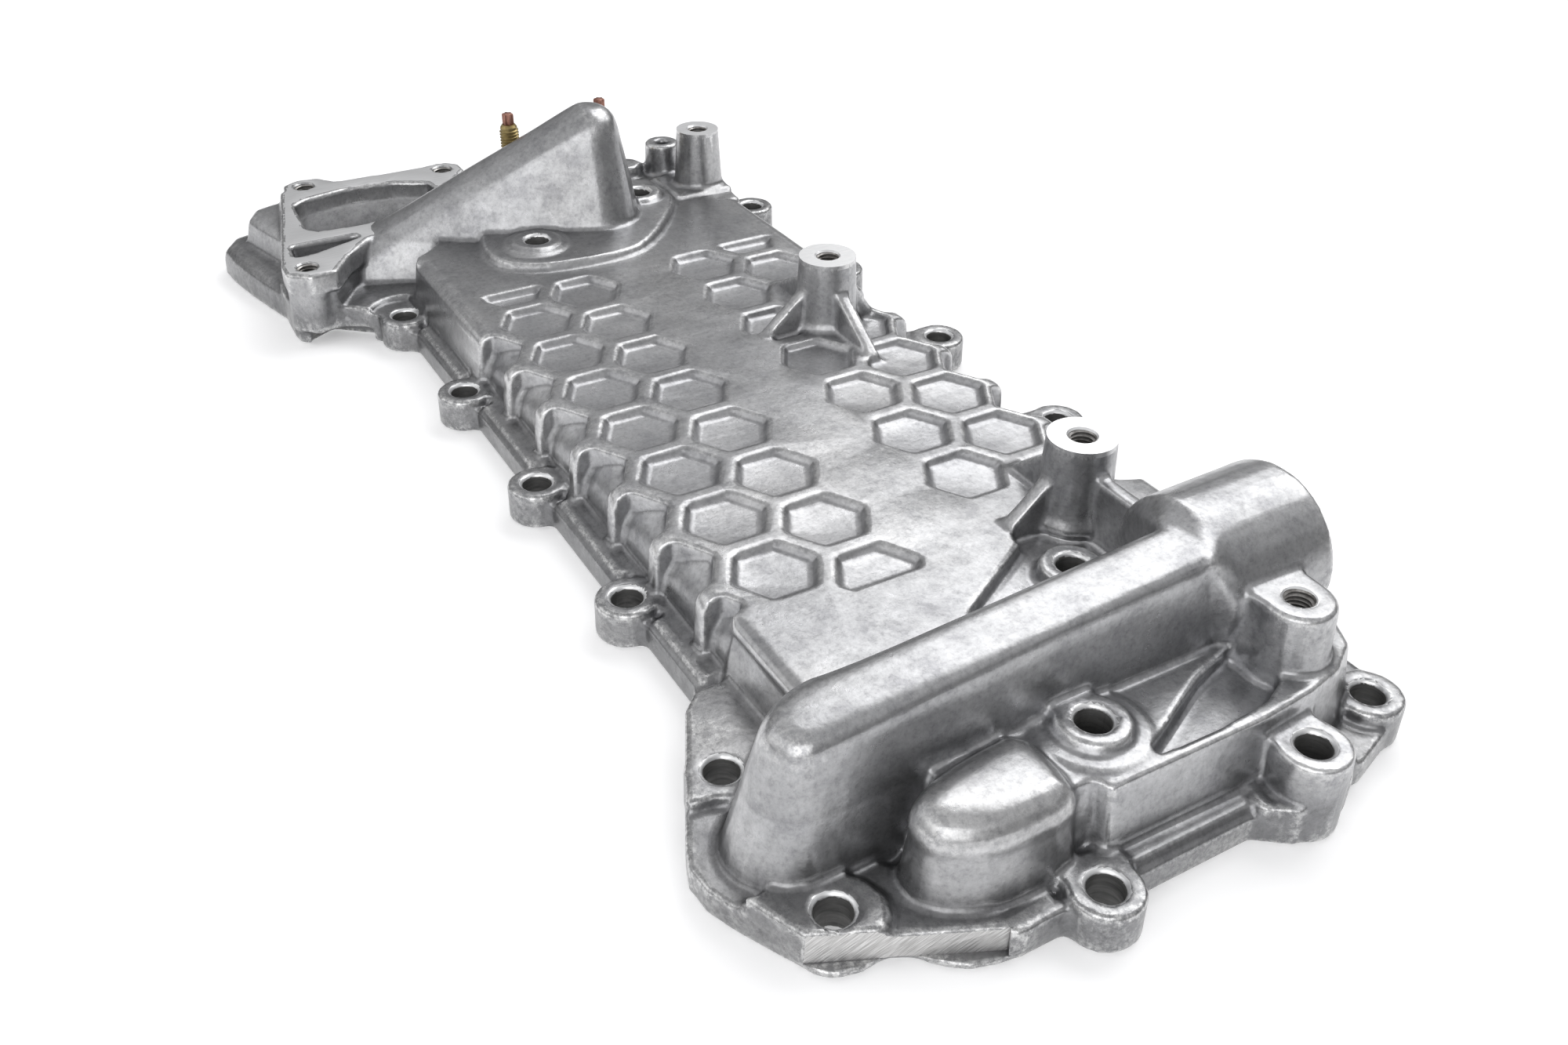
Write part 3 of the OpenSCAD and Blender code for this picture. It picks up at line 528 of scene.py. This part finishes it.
def assign_faces(obj, materials):
    """Give machined faces their own finish by where they lie."""
    mesh = obj.data
    mesh.materials.clear()
    for m in materials:
        mesh.materials.append(m)
    count = len(mesh.polygons)
    centre = np.empty(count * 3, np.float32)
    normal = np.empty(count * 3, np.float32)
    mesh.polygons.foreach_get("center", centre)
    mesh.polygons.foreach_get("normal", normal)
    x, y, z = (centre.reshape(-1, 3) / MM + PLAN_ORIGIN).T
    nx, ny, nz = normal.reshape(-1, 3).T
    slot = np.full(count, CAST, np.int32)
    flat = nz > 0.995
    steep = np.abs(nz) < 0.3
    around_thread = THREAD_RADIUS + 0.7

    def near(px, py, radius):
        return np.hypot(x - px, y - py) < radius

    for px, py, radius in POSTS:
        slot[near(px, py, radius + 0.3) & (z > POST_TOP - 0.05)] = MACHINED
        slot[near(px, py, around_thread) & (z > POST_TOP - THREAD_DEPTH - 1)] = MACHINED
    slot[near(*LUG_POST, around_thread) & (z > LUG_TOP - THREAD_DEPTH - 2)] = MACHINED
    for px, py, _ in BOLTS:
        slot[near(px, py, BOLT_RADIUS + 1.0)] = MACHINED
        # bore walls take the dark material that paints shade inside the holes
        slot[near(px, py, BOLT_RADIUS + 0.1) & steep] = BORE_SHADE
    for px, py, _, _ in TAPPED:
        slot[near(px, py, around_thread) & steep] = BORE_SHADE
    # the port's face: level with the panel, and on the port's side of a slanted line
    port = (x < -187) & (y < -26) & (x + 0.92 * (y + 85) < -212)
    slot[port & (np.abs(z - PANEL_TOP) < 0.12) & flat] = MACHINED
    # the gasket face
    slot[(z < 0.15) & (nz < -0.98)] = MACHINED
    c, s = math.cos(math.radians(BAND_ANGLE)), math.sin(math.radians(BAND_ANGLE))
    depth = -(x - BAND_ORIGIN[0]) * s + (y - BAND_ORIGIN[1]) * c
    on_band = (np.abs(depth - BAND_DEPTH) < 0.03) & (nx * s - ny * c > 0.99)
    slot[on_band & (y < -60) & (x > 155)] = GROUND
    mesh.polygons.foreach_set("material_index", slot)


def casting(node):
    """Skin of the cover: the CAD's mesh, rounded as cast metal is and then machined."""
    points, _, quads = soften(*arrays(node))
    points = (points - PLAN_ORIGIN) * MM
    count = len(quads)
    mesh = bpy.data.meshes.new("cover_skin")
    mesh.vertices.add(len(points))
    mesh.vertices.foreach_set("co", points.ravel())
    mesh.loops.add(4 * count)
    mesh.loops.foreach_set("vertex_index", quads[:, ::-1].ravel())
    mesh.polygons.add(count)
    mesh.polygons.foreach_set("loop_start", np.arange(0, 4 * count, 4, dtype=np.int32))
    mesh.update(calc_edges=True)
    mesh.validate()
    skin = bpy.data.objects.new("cover_skin", mesh)
    bpy.context.scene.collection.objects.link(skin)
    apply_modifier(skin, "DECIMATE", ratio=SKIN_TRIANGLES / (2 * count))
    cut_machining(skin)
    points = np.empty(len(skin.data.vertices) * 3, np.float32)
    skin.data.vertices.foreach_get("co", points)
    points[2::3] = np.maximum(points[2::3], 0)      # nothing below the gasket face
    skin.data.vertices.foreach_set("co", points)
    skin.data.shade_smooth()
    skin.data.set_sharp_from_angle(angle=math.radians(34))
    assign_faces(skin, [cast_metal(), machined_metal(), ground_metal(), bore_shade_metal()])
    return skin


# Scene

def camera():
    """Camera at the photograph's viewpoint."""
    azimuth, elevation, roll = math.radians(59.4868), math.radians(34.588), math.radians(0.8121)
    sensor, focal_pixels, photo_pixels = 36, 1791.2, 2000
    forward = Vector((-math.sin(azimuth) * math.cos(elevation),
                      math.cos(azimuth) * math.cos(elevation), -math.sin(elevation)))
    right = Vector((math.cos(azimuth), math.sin(azimuth), 0))
    up = right.cross(forward)
    x_axis = math.cos(roll) * right + math.sin(roll) * up
    y_axis = -math.sin(roll) * right + math.cos(roll) * up
    data = bpy.data.cameras.new("camera")
    data.sensor_width = sensor
    data.lens = sensor * focal_pixels / photo_pixels
    data.clip_start = 0.01
    obj = bpy.data.objects.new("camera", data)
    matrix = Matrix((x_axis, y_axis, -forward)).transposed().to_4x4()
    matrix.translation = place(330.0, -211.0, 259.3)
    obj.matrix_world = matrix
    bpy.context.scene.collection.objects.link(obj)
    bpy.context.scene.camera = obj


def area_light(name, position, target, size, power):
    """Rectangular lamp in metres and watts that faces its target."""
    data = bpy.data.lights.new(name, "AREA")
    data.shape = "RECTANGLE"
    data.size, data.size_y = size
    data.energy = power
    obj = bpy.data.objects.new(name, data)
    obj.location = Vector(position)
    direction = Vector(target) - Vector(position)
    obj.rotation_euler = direction.to_track_quat("-Z", "Y").to_euler()
    bpy.context.scene.collection.objects.link(obj)


def studio():
    """White floor just under the cover, soft surround and three lamps."""
    half, z = 10.0, -0.0005
    mesh = bpy.data.meshes.new("floor")
    mesh.from_pydata([(-half, -half, z), (half, -half, z), (half, half, z), (-half, half, z)], [],
                     [(0, 1, 2, 3)])
    floor = bpy.data.objects.new("floor", mesh)
    bpy.context.scene.collection.objects.link(floor)
    floor.data.materials.append(floor_material())
    sky()
    centre = (0.0, 0.09, 0.03)
    area_light("key", (-0.45, 0.95, 1.2), centre, (1.5, 1.0), 11)
    area_light("side", (1.0, -0.7, 0.6), centre, (1.2, 0.9), 6)
    area_light("left", (-0.3, -1.2, 0.7), centre, (2.4, 1.0), 4.5)


def sky():
    """Soft studio surround: bright overhead, darker towards the sides."""
    world = bpy.data.worlds.new("studio")
    bpy.context.scene.world = world
    world.use_nodes = True
    tree = world.node_tree
    background = tree.nodes["Background"]
    coords = tree.nodes.new("ShaderNodeTexCoord")
    split = tree.nodes.new("ShaderNodeSeparateXYZ")
    ramp = tree.nodes.new("ShaderNodeValToRGB")
    tree.links.new(coords.outputs["Generated"], split.inputs["Vector"])
    tree.links.new(split.outputs["Z"], ramp.inputs["Fac"])
    tree.links.new(ramp.outputs["Color"], background.inputs["Color"])
    stops = [(0.0, 0.13), (0.25, 0.30), (0.5, 0.57), (0.75, 0.72), (1.0, 0.6)]
    fill_ramp(ramp.color_ramp, [(position, (v, v, v * 1.01)) for position, v in stops])
    background.inputs["Strength"].default_value = 1.0


def main():
    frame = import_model()
    skin = casting(frame["nodes"]["cover"])
    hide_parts("cover")
    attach(skin, "root")
    # the tapped threads' material paints shade inside the holes
    tapped_shade_metal = thread_shade_metal()
    for i, (x, y, top, _) in enumerate(TAPPED):
        thread = inner_thread("thread_%d" % i, x, y, top)
        thread.data.materials.append(tapped_shade_metal)
        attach(thread, "root")
    shank_metal = plated_metal("plated_steel", (0.20, 0.15, 0.065), (0.42, 0.33, 0.15))
    tip_metal = plated_metal("plated_tip", (0.22, 0.10, 0.075), (0.42, 0.22, 0.17))
    for name, (x, y) in STUDS.items():
        body, tip = stud(name, x, y)
        body.data.materials.append(shank_metal)
        tip.data.materials.append(tip_metal)
        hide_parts(name)
        for piece in (body, tip):
            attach(piece, "root")
    camera()
    studio()
    scene = bpy.context.scene
    scene.view_settings.view_transform = "Standard"
    bpy.context.view_layer.update()


main()
